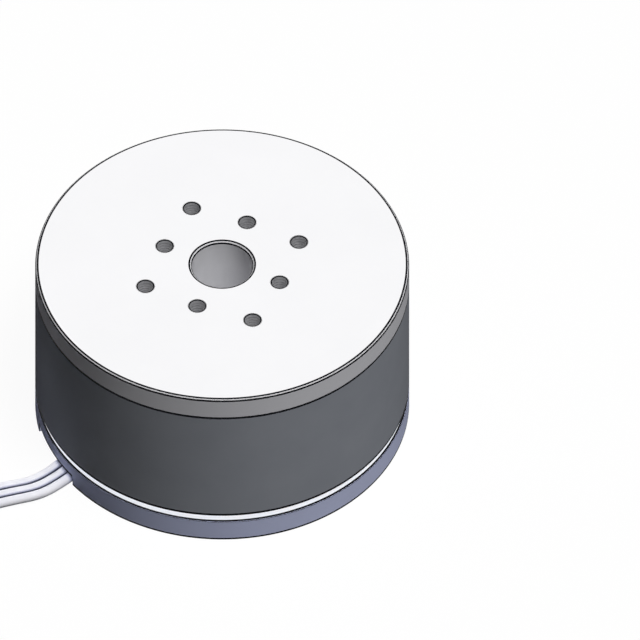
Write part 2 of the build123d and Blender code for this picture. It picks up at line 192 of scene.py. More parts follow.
base_profile = [
    (bearing_seat_radius + chamfer, 0), (body_radius - rim_break, 0), (body_radius, rim_break),
    (body_radius, lower_line_top), (body_radius, mouth_line_top),
    (body_radius, base_height - base_rim_chamfer),
    (body_radius + base_height - base_rim_chamfer - upper_line_bottom, upper_line_bottom),
    (body_radius - base_rim_chamfer, base_height), (face_line_radius, base_height),
    (groove_outer + chamfer, base_height), (groove_outer, base_height - chamfer),
    (groove_outer, groove_floor + chamfer), (groove_outer - chamfer, groove_floor),
    (groove_inner + chamfer, groove_floor), (groove_inner, groove_floor + chamfer),
    (groove_inner, base_height), (seat_radius, base_height),
    (seat_radius, seat_top - seat_chamfer), (seat_radius - seat_chamfer, seat_top), (tube_radius, seat_top),
    (tube_radius, tube_top - tube_chamfer), (tube_radius - tube_chamfer, tube_top),
    (bearing_seat_radius + tube_chamfer, tube_top), (bearing_seat_radius, tube_top - tube_chamfer),
    (bearing_seat_radius, shelf_top),
    (shelf_radius + chamfer, shelf_top), (shelf_radius, shelf_top - chamfer),
    (shelf_radius, shelf_bottom + chamfer), (shelf_radius + chamfer, shelf_bottom),
    (bearing_seat_radius, shelf_bottom), (bearing_seat_radius, chamfer),
]


def turned(profile, steps=192):
    """A shape turned about the spin axis from a closed outline of (radius, height) corners."""
    shape = bmesh.new()
    corners = [shape.verts.new((radius * mm, 0, height * mm)) for radius, height in profile]
    outline = [shape.edges.new(pair) for pair in zip(corners, corners[1:] + corners[:1])]
    bmesh.ops.spin(
        shape, geom=corners + outline, cent=(0, 0, 0), axis=(0, 0, 1), angle=math.tau,
        steps=steps, use_merge=True,
    )
    bmesh.ops.remove_doubles(shape, verts=shape.verts, dist=0.0005 * mm)
    loose = [edge for edge in shape.edges if not edge.link_faces]
    bmesh.ops.delete(shape, geom=loose, context="EDGES")
    bmesh.ops.recalc_face_normals(shape, faces=shape.faces)
    return shape


def block(low, high, rounding=0.0, along=None, segments=4):
    """A box between two corners, with its edges rounded, or only those along one axis."""
    shape = bmesh.new()
    bmesh.ops.create_cube(shape, size=1)
    low, high = Vector(low) * mm, Vector(high) * mm
    bmesh.ops.scale(shape, verts=shape.verts, vec=high - low)
    bmesh.ops.translate(shape, verts=shape.verts, vec=(low + high) / 2)
    edges = shape.edges[:]
    if along:
        edges = [edge for edge in edges if abs((edge.verts[0].co - edge.verts[1].co)["xyz".index(along)]) > 0]
    if rounding:
        bmesh.ops.bevel(
            shape, geom=edges, offset=rounding * mm, segments=segments, profile=0.5,
            affect="EDGES", material=-1,
        )
    return shape


def combine(shape, tool, operation="DIFFERENCE"):
    """Cuts, joins or trims one closed shape with another."""
    pair = []
    for part in (shape, tool):
        mesh = bpy.data.meshes.new("blank")
        part.to_mesh(mesh)
        part.free()
        pair.append(bpy.data.objects.new("blank", mesh))
        bpy.context.collection.objects.link(pair[-1])
    blank, cutter = pair
    cut = blank.modifiers.new("cut", "BOOLEAN")
    cut.operation = operation
    cut.solver = "EXACT"
    cut.object = cutter
    finished = bpy.data.meshes.new_from_object(blank.evaluated_get(bpy.context.evaluated_depsgraph_get()))
    result = bmesh.new()
    result.from_mesh(finished)
    for part in pair:
        mesh = part.data
        bpy.data.objects.remove(part)
        bpy.data.meshes.remove(mesh)
    bpy.data.meshes.remove(finished)
    return result


def moved(shape, shift=(0, 0, 0), turn=0.0, axis="Z"):
    """The shape, turned about an axis through the origin and then shifted."""
    spin = Matrix.Rotation(math.radians(turn), 3, axis)
    bmesh.ops.rotate(shape, verts=shape.verts, cent=(0, 0, 0), matrix=spin)
    bmesh.ops.translate(shape, verts=shape.verts, vec=Vector(shift) * mm)
    return shape


def repeated(shape, count, start=0.0):
    """Even copies of the shape round the spin axis, the first turned by the start angle."""
    moved(shape, turn=start)
    everything = shape.verts[:] + shape.edges[:] + shape.faces[:]
    bmesh.ops.spin(
        shape, geom=everything, cent=(0, 0, 0), axis=(0, 0, 1), angle=math.tau * (count - 1) / count,
        steps=count - 1, use_duplicate=True,
    )
    return shape


def tapped_hole(depth, mouth=1.11, core=0.96, crest=1.24, pitch=0.45):
    """The hollow of an M2.5 tapped hole, straight down from level 0, with its threads."""
    above, lip, level = 0.3, -0.02, -0.05
    crest_start, crest_end, core_start = 0.35 * pitch, 0.5 * pitch, 0.85 * pitch
    drill_point = 0.5
    outline = [(0, above), (mouth, above), (mouth, lip), (core, level)]
    while level - pitch > -depth:
        outline += [(core, level), (crest, level - crest_start), (crest, level - crest_end)]
        outline += [(core, level - core_start)]
        level -= pitch
    outline += [(core, -depth), (0, -depth - drill_point)]
    return turned(outline, steps=28)


def make_piece(shape, name, material, body, slot, *stands_for, areas=()):
    """The finished object of a shape, with its material, its body and what it stands for.
    An area is a second material and a test, by a face's centre in millimetres and normal."""
    bmesh.ops.remove_doubles(shape, verts=shape.verts, dist=0.0002 * mm)
    bmesh.ops.recalc_face_normals(shape, faces=shape.faces)
    for face in shape.faces:
        face.smooth = True
    mesh = bpy.data.meshes.new(name)
    shape.to_mesh(mesh)
    shape.free()
    mesh.set_sharp_from_angle(angle=math.radians(28))
    mesh.materials.append(material)
    for area_material, inside in areas:
        mesh.materials.append(area_material)
        for face in mesh.polygons:
            if inside(face.center / mm, face.normal):
                face.material_index = len(mesh.materials) - 1
    piece = bpy.data.objects.new(name, mesh)
    bpy.context.collection.objects.link(piece)
    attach(piece, body)
    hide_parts(*stands_for)
    return piece


def new_effect(name, inputs, output):
    """A shared effect: an empty group with its inputs and one output, and its end nodes."""
    tree = bpy.data.node_groups.new(name, "ShaderNodeTree")
    tree.interface.new_socket("Vector", in_out="INPUT", socket_type="NodeSocketVector")
    for socket in inputs:
        tree.interface.new_socket(socket, in_out="INPUT", socket_type="NodeSocketFloat")
    tree.interface.new_socket(output, in_out="OUTPUT", socket_type="NodeSocketFloat")
    return tree, tree.nodes.new("NodeGroupInput"), tree.nodes.new("NodeGroupOutput")


smudges, start, end = new_effect("smudges", ["Scale", "Amount"], "Mask")
cloud = smudges.nodes.new("ShaderNodeTexNoise")
cloud.inputs["Detail"].default_value = 5
cloud.inputs["Roughness"].default_value = 0.6
spread = smudges.nodes.new("ShaderNodeMapRange")
spread.inputs["From Min"].default_value = 0.35
spread.inputs["From Max"].default_value = 0.7
smudges.links.new(start.outputs["Vector"], cloud.inputs["Vector"])
smudges.links.new(start.outputs["Scale"], cloud.inputs["Scale"])
smudges.links.new(cloud.outputs["Fac"], spread.inputs["Value"])
smudges.links.new(start.outputs["Amount"], spread.inputs["To Max"])
smudges.links.new(spread.outputs["Result"], end.inputs["Mask"])

# The marks of the turning tool: rings that follow the radius on a face and the height on a wall.
lathe_marks, start, end = new_effect("lathe_marks", ["Fineness"], "Height")
apart = lathe_marks.nodes.new("ShaderNodeSeparateXYZ")
across = lathe_marks.nodes.new("ShaderNodeCombineXYZ")
radius = lathe_marks.nodes.new("ShaderNodeVectorMath")
radius.operation = "LENGTH"
along = lathe_marks.nodes.new("ShaderNodeCombineXYZ")
rings = lathe_marks.nodes.new("ShaderNodeTexNoise")
rings.inputs["Detail"].default_value = 3
rings.inputs["Roughness"].default_value = 0.7
lathe_marks.links.new(start.outputs["Vector"], apart.inputs[0])
lathe_marks.links.new(apart.outputs["X"], across.inputs["X"])
lathe_marks.links.new(apart.outputs["Y"], across.inputs["Y"])
lathe_marks.links.new(across.outputs[0], radius.inputs[0])
lathe_marks.links.new(radius.outputs["Value"], along.inputs["X"])
lathe_marks.links.new(apart.outputs["Z"], along.inputs["Y"])
lathe_marks.links.new(along.outputs[0], rings.inputs["Vector"])
lathe_marks.links.new(start.outputs["Fineness"], rings.inputs["Scale"])
lathe_marks.links.new(rings.outputs["Fac"], end.inputs["Height"])

# An edge mask along every edge. The nut uses it for real wear; the other finishes use it in near-black for
# painted dark outlines, painted shade along edges and seams.
edge_wear_and_painted_outline, start, end = new_effect("edge_wear_and_painted_outline", ["Width", "Patchiness"], "Mask")
soft_edge = edge_wear_and_painted_outline.nodes.new("ShaderNodeBevel")
soft_edge.samples = 6
true_face = edge_wear_and_painted_outline.nodes.new("ShaderNodeNewGeometry")
agreement = edge_wear_and_painted_outline.nodes.new("ShaderNodeVectorMath")
agreement.operation = "DOT_PRODUCT"
wear_and_painted_outline = edge_wear_and_painted_outline.nodes.new("ShaderNodeMapRange")
wear_and_painted_outline.inputs["From Min"].default_value = 0.9992
wear_and_painted_outline.inputs["From Max"].default_value = 0.993
patches = edge_wear_and_painted_outline.nodes.new("ShaderNodeTexNoise")
patches.inputs["Detail"].default_value = 4
uneven = edge_wear_and_painted_outline.nodes.new("ShaderNodeMapRange")
uneven.inputs["From Min"].default_value = 0.3
uneven.inputs["From Max"].default_value = 0.6
uneven.inputs["To Min"].default_value = 0.88
product = edge_wear_and_painted_outline.nodes.new("ShaderNodeMath")
product.operation = "MULTIPLY"
edge_wear_and_painted_outline.links.new(start.outputs["Width"], soft_edge.inputs["Radius"])
edge_wear_and_painted_outline.links.new(soft_edge.outputs["Normal"], agreement.inputs[0])
edge_wear_and_painted_outline.links.new(true_face.outputs["Normal"], agreement.inputs[1])
edge_wear_and_painted_outline.links.new(agreement.outputs["Value"], wear_and_painted_outline.inputs["Value"])
edge_wear_and_painted_outline.links.new(start.outputs["Vector"], patches.inputs["Vector"])
edge_wear_and_painted_outline.links.new(start.outputs["Patchiness"], patches.inputs["Scale"])
edge_wear_and_painted_outline.links.new(patches.outputs["Fac"], uneven.inputs["Value"])
edge_wear_and_painted_outline.links.new(wear_and_painted_outline.outputs["Result"], product.inputs[0])
edge_wear_and_painted_outline.links.new(uneven.outputs["Result"], product.inputs[1])
edge_wear_and_painted_outline.links.new(product.outputs[0], end.inputs["Mask"])


class Finish:
    """A material on one surface shader, to which shared effects are added one by one."""

    def __init__(self, name, color, metallic, roughness, specular=0.4):
        self.material, self.nodes, self.links, surface = empty_material(name)
        self.shader = self.nodes.new("ShaderNodeBsdfPrincipled")
        self.shader.inputs["Metallic"].default_value = metallic
        self.shader.inputs["Roughness"].default_value = roughness
        self.shader.inputs["Specular IOR Level"].default_value = specular
        self.links.new(self.shader.outputs[0], surface)
        self.place = self.nodes.new("ShaderNodeTexCoord").outputs["Object"]
        self.color = self.nodes.new("ShaderNodeRGB").outputs[0]
        self.color.default_value = (*color, 1)
        self.normal = None

    def effect(self, tree, **values):
        """The output of a shared effect, fed with this material's own values."""
        group = self.nodes.new("ShaderNodeGroup")
        group.node_tree = tree
        self.links.new(self.place, group.inputs["Vector"])
        for name, value in values.items():
            group.inputs[name].default_value = value
        return group.outputs[0]

    def noise(self, scale, detail=2.0, stretch=(1, 1, 1)):
        """Plain noise on the piece, stretched along its axes."""
        mapping = self.nodes.new("ShaderNodeMapping")
        mapping.inputs["Scale"].default_value = stretch
        texture = self.nodes.new("ShaderNodeTexNoise")
        texture.inputs["Scale"].default_value = scale
        texture.inputs["Detail"].default_value = detail
        self.links.new(self.place, mapping.inputs["Vector"])
        self.links.new(mapping.outputs[0], texture.inputs["Vector"])
        return texture.outputs["Fac"]

    def shade(self, mask, color):
        """Blends another colour in, where the mask says."""
        mix = self.nodes.new("ShaderNodeMix")
        mix.data_type = "RGBA"
        sockets = [socket for socket in mix.inputs if socket.type == "RGBA"]
        self.links.new(mask, mix.inputs["Factor"])
        self.links.new(self.color, sockets[0])
        sockets[1].default_value = (*color, 1)
        self.color = [socket for socket in mix.outputs if socket.type == "RGBA"][0]

    def gloss(self, mask, low, high):
        """Spreads the roughness between two values by a mask."""
        span = self.nodes.new("ShaderNodeMapRange")
        span.inputs["To Min"].default_value = low
        span.inputs["To Max"].default_value = high
        self.links.new(mask, span.inputs["Value"])
        self.links.new(span.outputs["Result"], self.shader.inputs["Roughness"])

    def relief(self, height, depth, strength=1.0):
        """Adds a fine relief of some depth in millimetres."""
        bump = self.nodes.new("ShaderNodeBump")
        bump.inputs["Distance"].default_value = depth * mm
        bump.inputs["Strength"].default_value = strength
        self.links.new(height, bump.inputs["Height"])
        if self.normal:
            self.links.new(self.normal, bump.inputs["Normal"])
        self.normal = bump.outputs["Normal"]

    def done(self):
        """The finished material."""
        self.links.new(self.color, self.shader.inputs["Base Color"])
        if self.normal:
            self.links.new(self.normal, self.shader.inputs["Normal"])
        return self.material


anodised = Finish("lavender_anodised_aluminium", (0.68, 0.73, 1.0), 0.0, 0.5, specular=0.0)
rings = anodised.effect(lathe_marks, Fineness=2600.0)
haze = anodised.effect(smudges, Scale=130.0, Amount=0.35)
# The near-black edge colour below is painted shade: dark outlines along the base's edges.
wear_and_painted_outline = anodised.effect(edge_wear_and_painted_outline, Width=0.2 * mm, Patchiness=700.0)
anodised.shade(haze, (0.59, 0.63, 0.84))
anodised.shade(wear_and_painted_outline, (0.03, 0.03, 0.04))
anodised.gloss(rings, 0.36, 0.56)
anodised.relief(rings, 0.006)
anodised.relief(anodised.noise(14000, 3), 0.003)

# The leads' passage, the slot of the winding's tails above its inner end, and the holes below
passage_near, passage_far, passage_top = -6.05, 3.9, 1.45
splice_rows = (-0.95, -2.4, -3.85)
slot_margin, slot_outer_end = 0.5, -15.0
base_hole_radius, base_hole_depth = 12, 2.6

base_shape = turned(base_profile)
passage = block(
    (-body_radius - 2, passage_near, -1), (-groove_inner, passage_far, passage_top), rounding=0.45, along="x",
)
base_shape = combine(base_shape, passage)
tail_slot = block(
    (slot_outer_end, min(splice_rows) - slot_margin, 1), (-groove_inner, max(splice_rows) + slot_margin, 4),
    rounding=0.75, along="z",
)
base_shape = combine(base_shape, tail_slot)
base_hole = moved(tapped_hole(base_hole_depth), (base_hole_radius, 0, 0), turn=180, axis="X")
base_shape = combine(base_shape, repeated(base_hole, 4, start=45))

# Near-black bands on rims, seams and mouths: painted shade lines, not a real coating.
painted_outline = Finish("painted_dark_outline", (0.004, 0.004, 0.006), 0.0, 0.5, specular=0.03)
painted_outline.shade(painted_outline.effect(smudges, Scale=900.0, Amount=0.5), (0.012, 0.012, 0.016))
painted_outline.gloss(painted_outline.effect(smudges, Scale=700.0, Amount=1.0), 0.4, 0.6)
painted_outline = painted_outline.done()


def on_base_edge(center, normal):
    """The painted dark lines, standing in for shade, along the edges of the flange's rim and over the mouth
    of the passage.
    """
    over_leads = center.x < 0 and passage_near < center.y < passage_far
    on_mouth = over_leads and passage_top < center.z < mouth_line_top
    on_rim = center.z < lower_line_top or center.z > upper_line_bottom
    return center.xy.length > face_line_radius and (on_rim or on_mouth)


def on_ledge(center, normal):
    """The ring of the flange's face that shows in the running gap, in a lighter copy of the base's finish:
    painted light.
    """
    return normal.z > 0.9 and center.xy.length > groove_outer and center.z > groove_floor


# A lighter copy of the base's anodised finish, painted light so that the ring in the running gap shows
# bright; its edges take the painted dark outlines.
painted_light_ledge = Finish("ledge_painted_light", (0.88, 0.94, 1.0), 0.0, 0.45, specular=0.0)
rings = painted_light_ledge.effect(lathe_marks, Fineness=2600.0)
painted_light_ledge.shade(painted_light_ledge.effect(smudges, Scale=200.0, Amount=0.3), (0.82, 0.88, 0.97))
painted_light_ledge.shade(painted_light_ledge.effect(edge_wear_and_painted_outline, Width=0.2 * mm, Patchiness=700.0), (0.03, 0.03, 0.04))
painted_light_ledge.gloss(rings, 0.34, 0.54)
painted_light_ledge.relief(rings, 0.006)
make_piece(
    base_shape, "base_turned", anodised.done(), "stator", "base_aluminium", "base",
    areas=((painted_light_ledge.done(), on_ledge), (painted_outline, on_base_edge)),
)

# The stator core is a stack of thin steel sheets with 24 teeth, pressed over the tube
# and dipped in amber insulating varnish. The edges of its sheets show as fine lines.
varnish = Finish("amber_varnish", (0.88, 0.36, 0.02), 0.0, 0.35, specular=0.5)
pooled = varnish.effect(smudges, Scale=260.0, Amount=0.6)
varnish.shade(pooled, (0.62, 0.2, 0.01))
sheet_thickness = 0.35
waves_per_unit = 0.314
sheets = varnish.nodes.new("ShaderNodeTexWave")
sheets.wave_type = "BANDS"
sheets.bands_direction = "Z"
sheets.inputs["Scale"].default_value = waves_per_unit / (sheet_thickness * mm)
varnish.links.new(varnish.place, sheets.inputs["Vector"])
varnish.relief(sheets.outputs["Fac"], 0.03, 0.6)
varnish.gloss(pooled, 0.28, 0.5)
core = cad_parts["stator_core"]
core.data.materials.clear()
core.data.materials.append(varnish.done())

# Each tooth carries a coil of enamelled copper wire, wound in rows and rounded at its ends.
# Eight coils make a phase, and the letter of a tooth gives its phase and its winding sense.
winding_pattern = "AabBCcaABbcCAabBCcaABbcC"
coil_inner, coil_outer = 13.8, 18.942
coil_inner_half, coil_outer_half = 1.676, 2.347
coil_bottom, coil_top = 2.6, 21.8
coil_middle = (coil_bottom + coil_top) / 2
coil_half_height = (coil_top - coil_bottom) / 2
coil_corner = 0.675
opening_half_width, opening_bottom, opening_top = 0.8425, 3.9, 20.5
wire_rows = 12
wire_relief = 0.07

enamel = Finish("copper_enamel", (0.62, 0.24, 0.055), 0.55, 0.3)
dull = enamel.effect(smudges, Scale=420.0, Amount=0.7)
enamel.shade(dull, (0.4, 0.13, 0.03))
enamel.gloss(dull, 0.22, 0.42)
enamel = enamel.done()

wound = bmesh.new()
bmesh.ops.create_grid(wound, x_segments=1, y_segments=1, size=1)
low = min(vert.co.x for vert in wound.verts)
bmesh.ops.scale(
    wound, verts=wound.verts,
    vec=(coil_inner_half * mm / -low, coil_half_height * mm / -low, 1),
)
bmesh.ops.bevel(
    wound, geom=wound.verts[:], offset=coil_corner * mm, segments=4, profile=0.5,
    affect="VERTICES", material=-1,
)
bmesh.ops.rotate(
    wound, verts=wound.verts, cent=(0, 0, 0),
    matrix=Matrix(((0, 0, 1), (1, 0, 0), (0, 1, 0))),
)
bmesh.ops.translate(wound, verts=wound.verts, vec=(coil_inner * mm, 0, coil_middle * mm))
front = wound.faces[:]
half_width, half_height = coil_inner_half, coil_half_height
from_middle = Matrix.Translation((0, 0, -coil_middle * mm))
for half_row in range(1, 2 * wire_rows + 1):
    grown = bmesh.ops.extrude_face_region(wound, geom=front)["geom"]
    if half_row > 1:
        bmesh.ops.delete(wound, geom=front, context="FACES_ONLY")
    front = [item for item in grown if isinstance(item, bmesh.types.BMFace)]
    ring = list({vert for face in front for vert in face.verts})
    sunk = 0 if half_row % 2 else wire_relief
    share = half_row / (2 * wire_rows)
    new_width = coil_inner_half + (coil_outer_half - coil_inner_half) * share - sunk
    new_height = coil_half_height - sunk
    bmesh.ops.scale(
        wound, verts=ring, vec=(1, new_width / half_width, new_height / half_height), space=from_middle,
    )
    bmesh.ops.translate(wound, verts=ring, vec=((coil_outer - coil_inner) * mm / (2 * wire_rows), 0, 0))
    half_width, half_height = new_width, new_height
bmesh.ops.recalc_face_normals(wound, faces=wound.faces)
tooth_room = block(
    (coil_inner - 1, -opening_half_width, opening_bottom), (coil_outer + 1, opening_half_width, opening_top),
    rounding=0.15, along="x", segments=2,
)
wound = combine(wound, tooth_room)
one_coil = bpy.data.meshes.new("one_coil")
wound.to_mesh(one_coil)
wound.free()
for phase in "abc":
    coils = bmesh.new()
    for tooth, letter in enumerate(winding_pattern):
        if letter.lower() == phase:
            already = len(coils.verts)
            coils.from_mesh(one_coil)
            bmesh.ops.rotate(
                coils, verts=coils.verts[already:], cent=(0, 0, 0),
                matrix=Matrix.Rotation(math.tau * tooth / len(winding_pattern), 3, "Z"),
            )
    make_piece(
        coils, f"coils_phase_{phase}_wound", enamel, "stator", "winding_copper", f"coils_phase_{phase}",
    )

# Three tails of the winding come down through the slot in the base, and each is soldered
# to its lead under a short black sleeve of heat-shrink tube.
tail_diameter = 0.5
tail_place = -14.0
splice_level = 0.7


def round_curve(name, points, diameter, material):
    """A smooth round wire or cord through control points in millimetres."""
    line = bpy.data.curves.new(name, "CURVE")
    line.dimensions = "3D"
    line.bevel_depth = diameter / 2 * mm
    line.bevel_resolution = 5
    line.resolution_u = 6
    line.use_fill_caps = True
    spline = line.splines.new("NURBS")
    spline.points.add(len(points) - 1)
    for control, point in zip(spline.points, points):
        control.co = (*(Vector(point) * mm), 1)
    spline.order_u = 3
    spline.use_endpoint_u = True
    line.materials.append(material)
    piece = bpy.data.objects.new(name, line)
    bpy.context.collection.objects.link(piece)
    return piece


for phase, row in zip("abc", splice_rows):
    tail_points = [
        (tail_place - 1.2, row, splice_level), (tail_place - 0.4, row, splice_level),
        (tail_place, row, splice_level), (tail_place, row, splice_level + 0.4), (tail_place, row, 2.65),
    ]
    tail = round_curve(f"winding_tail_{phase}", tail_points, tail_diameter, enamel)
    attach(tail, "stator")
    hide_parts("winding_tails")

shrink = Finish("heat_shrink", (0.03, 0.03, 0.033), 0.0, 0.5)
creases = shrink.effect(smudges, Scale=900.0, Amount=1.0)
shrink.shade(creases, (0.06, 0.06, 0.065))
shrink.gloss(creases, 0.38, 0.6)
shrink.relief(shrink.noise(3500, 3), 0.02, 0.6)


def gathered(shapes):
    """One shape that holds all of the shapes."""
    whole_shape = bmesh.new()
    for shape in shapes:
        carrier = bpy.data.meshes.new("carrier")
        shape.to_mesh(carrier)
        shape.free()
        whole_shape.from_mesh(carrier)
        bpy.data.meshes.remove(carrier)
    return whole_shape


# A sleeve's radius along its length, from its end at the lead to its end at the tail
sleeve_start = -19.0
sleeve_profile = [
    (0, 0), (0.62, 0), (0.65, 0.05), (0.65, 0.4), (0.7, 0.9), (0.69, 2.0), (0.7, 3.1),
    (0.6, 3.6), (0.5, 3.95), (0.45, 4.0), (0, 4.0),
]
lying = [moved(turned(sleeve_profile, steps=28), turn=90, axis="Y") for row in splice_rows]
sleeves = gathered([
    moved(sleeve, (sleeve_start, row, splice_level)) for sleeve, row in zip(lying, splice_rows)
])
make_piece(sleeves, "splice_sleeves", shrink.done(), "stator", "splice_sleeve", "lead_splices")

# Three leads of fine stranded wire in soft white silicone. They lie side by side on the
# surface, and their spare length is wound into one small round coil beside the motor.
lead_routes = {
    "lead_a": [
        (-17.0, -0.95, 0.7), (-19.0, -0.95, 0.7), (-21.3, -1.95, 0.6), (-24.0, -3.3, 0.6),
        (-26.85, -4.15, 0.6), (-29.7, -3.75, 0.6), (-32.5, -3.45, 0.6), (-35.1, -3.6, 0.6),
        (-38.6, -3.62, 0.72),
    ],
    "lead_b": [
        (-17.0, -2.4, 0.7), (-19.0, -2.4, 0.7), (-21.0, -3.3, 0.6), (-23.6, -4.5, 0.6),
        (-26.7, -5.4, 0.6), (-29.9, -5.0, 0.6), (-33.1, -4.75, 0.6), (-36.2, -4.9, 0.6),
        (-39.2, -4.88, 0.74),
    ],
    "lead_c": [
        (-17.0, -3.85, 0.7), (-19.0, -3.85, 0.7), (-20.7, -4.55, 0.6), (-23.2, -5.62, 0.6),
        (-26.5, -6.65, 0.6), (-30.1, -6.25, 0.6), (-34.1, -6.0, 0.6), (-37.9, -6.15, 0.66),
    ],
}
column_radius = {"lead_a": 5.95, "lead_b": 7.2, "lead_c": 8.45}
column_turns = {"lead_a": 6.015, "lead_b": 4.973, "lead_c": 4.238}
coil_center = Vector((-41.5, 2.3, 0))
first_turn_level = 0.9
turn_pitch = 1.25
points_per_turn = 16
lead_diameter = 1.2
tip_diameter = 0.8
tip_length = 4.0


def coil_point(radius, turns, outside=1.0):
    """A point of the clockwise turns, counted from where the lead comes in."""
    angle = math.radians(-90 - 360 * turns)
    level = Vector((0, 0, first_turn_level + turn_pitch * turns))
    return coil_center + Vector((math.cos(angle), math.sin(angle), 0)) * radius * outside + level


def turn_points(radius, start, end):
    """Control points of the turns from start to end, with the end point itself last."""
    count = max(2, round((end - start) * points_per_turn))
    step = (end - start) / count
    outside = 1 / math.cos(math.pi * step)
    points = [coil_point(radius, start + (number + 0.5) * step, outside) for number in range(count)]
    return points + [coil_point(radius, end)]


silicone = Finish("white_silicone", (0.88, 0.885, 0.93), 0.0, 0.5, specular=0.2)
dust = silicone.effect(smudges, Scale=420.0, Amount=0.8)
silicone.shade(dust, (0.76, 0.765, 0.83))
# Painted shade: near other surfaces the silicone turns grey-blue, and nearly black in the valleys between the
# leads and where they meet the floor.
nearness = silicone.nodes.new("ShaderNodeAmbientOcclusion")
nearness.samples = 8
nearness.inputs["Distance"].default_value = 0.6 * mm
painted_valley_shade = silicone.nodes.new("ShaderNodeMapRange")
painted_valley_shade.inputs["From Min"].default_value = 0.8
painted_valley_shade.inputs["From Max"].default_value = 0.48
silicone.links.new(nearness.outputs["AO"], painted_valley_shade.inputs["Value"])
shadowed = silicone.nodes.new("ShaderNodeMapRange")
shadowed.inputs["From Min"].default_value = 1.0
shadowed.inputs["From Max"].default_value = 0.75
silicone.links.new(nearness.outputs["AO"], shadowed.inputs["Value"])
silicone.shade(shadowed.outputs["Result"], (0.55, 0.57, 0.72))
silicone.shade(painted_valley_shade.outputs["Result"], (0.04, 0.045, 0.075))
silicone.gloss(dust, 0.42, 0.62)
silicone.relief(silicone.noise(9000, 2), 0.008, 0.5)
silicone = silicone.done()

tinned = Finish("tinned_strands", (0.72, 0.72, 0.7), 1.0, 0.35)
flux = tinned.effect(smudges, Scale=900.0, Amount=1.0)
tinned.shade(flux, (0.5, 0.49, 0.45))
tinned.gloss(flux, 0.28, 0.5)
tinned.relief(tinned.noise(2500, 1, (1, 1, 0.3)), 0.05, 0.6)
tinned = tinned.done()

for lead_name, route in lead_routes.items():
    radius = column_radius[lead_name]
    last = column_turns[lead_name]
    bare_from = last - tip_length / (math.tau * radius)
    covered = route + turn_points(radius, 0, bare_from)
    lead = round_curve(lead_name + "_insulation", covered, lead_diameter, silicone)
    bare_end = [coil_point(radius, bare_from)] + turn_points(radius, bare_from, last)
    tip = round_curve(lead_name + "_tinned_end", bare_end, tip_diameter, tinned)
    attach(lead, "stator")
    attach(tip, "stator")
    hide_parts(lead_name, "lead_coil")
    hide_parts("lead_tips")

# Two flat nylon bands hold the turns of the spare length together. Each is a closed loop
# drawn tight round the whole section of the coil.
tie_corners = [(5.198, 0.3), (9.125, 0.3), (9.125, 6.8), (5.198, 9.02)]
tie_angles = (75, 235)
tie_width = 1.8
tie_thickness = 0.3
tie_bend = 0.35
tie_edge_rounding = 0.08
inside_loop = Vector((7.1, 0, 4.2)) * mm

nylon = Finish("natural_nylon", (0.8, 0.79, 0.74), 0.0, 0.45)
nylon.shade(nylon.effect(smudges, Scale=700.0, Amount=0.6), (0.68, 0.66, 0.6))
nylon.gloss(nylon.effect(smudges, Scale=500.0, Amount=1.0), 0.35, 0.55)
nylon.relief(nylon.noise(5000, 2), 0.01, 0.6)
nylon = nylon.done()

for tie_number, tie_angle in enumerate(tie_angles):
    band = bmesh.new()
    corners = [band.verts.new((r * mm, -tie_width / 2 * mm, z * mm)) for r, z in tie_corners]
    band.faces.new(corners)
    bmesh.ops.bevel(
        band, geom=corners, offset=tie_bend * mm, segments=4, profile=0.5, affect="VERTICES", material=-1,
    )
    rim = band.edges[:]
    bmesh.ops.delete(band, geom=band.faces[:], context="FACES_ONLY")
    wall = bmesh.ops.extrude_edge_only(band, edges=rim)["geom"]
    far_side = [item for item in wall if isinstance(item, bmesh.types.BMVert)]
    bmesh.ops.translate(band, verts=far_side, vec=(0, tie_width * mm, 0))
    bmesh.ops.recalc_face_normals(band, faces=band.faces)
    outward = sum(face.normal.dot(face.calc_center_median() - inside_loop) for face in band.faces)
    bmesh.ops.solidify(band, geom=band.faces[:], thickness=-tie_thickness * mm * (1 if outward > 0 else -1))
    bmesh.ops.recalc_face_normals(band, faces=band.faces)
    long_edges = [edge for edge in band.edges if edge.calc_face_angle(0) > 1.2]
    bmesh.ops.bevel(
        band, geom=long_edges, offset=tie_edge_rounding * mm, segments=2, profile=0.5,
        affect="EDGES", material=-1,
    )
    moved(band, coil_center, turn=tie_angle)
    make_piece(band, f"lead_tie_{tie_number}", nylon, "stator", "tie_nylon", "lead_ties")

# Two deep-groove ball bearings carry the shaft in the base's tube. Rings, balls and cage
# keep their drawn shape, and the shields are pressed from thin sheet with a raised step.
ground = Finish("ground_bearing_steel", (0.62, 0.63, 0.65), 1.0, 0.25)
rings = ground.effect(lathe_marks, Fineness=5000.0)
ground.shade(ground.effect(smudges, Scale=300.0, Amount=0.5), (0.5, 0.51, 0.53))
ground.gloss(rings, 0.18, 0.36)
ground.relief(rings, 0.002)
ground = ground.done()
ball_steel = Finish("polished_balls", (0.7, 0.71, 0.73), 1.0, 0.08)
ball_steel.shade(ball_steel.effect(smudges, Scale=1500.0, Amount=0.4), (0.55, 0.56, 0.58))
ball_steel.gloss(ball_steel.effect(smudges, Scale=900.0, Amount=1.0), 0.05, 0.16)
ball_steel = ball_steel.done()
cage_nylon = Finish("moulded_cage_nylon", (0.72, 0.66, 0.5), 0.0, 0.5)
cage_nylon.shade(cage_nylon.effect(smudges, Scale=600.0, Amount=0.8), (0.55, 0.49, 0.34))
cage_nylon.gloss(cage_nylon.effect(smudges, Scale=900.0, Amount=1.0), 0.4, 0.65)
cage_nylon.relief(cage_nylon.noise(6000, 2), 0.01)
cage_nylon = cage_nylon.done()
pressed = Finish("pressed_shield_steel", (0.5, 0.51, 0.53), 0.9, 0.35)
pressed.shade(pressed.effect(smudges, Scale=350.0, Amount=0.7), (0.4, 0.41, 0.43))
pressed.gloss(pressed.effect(lathe_marks, Fineness=4000.0), 0.28, 0.48)
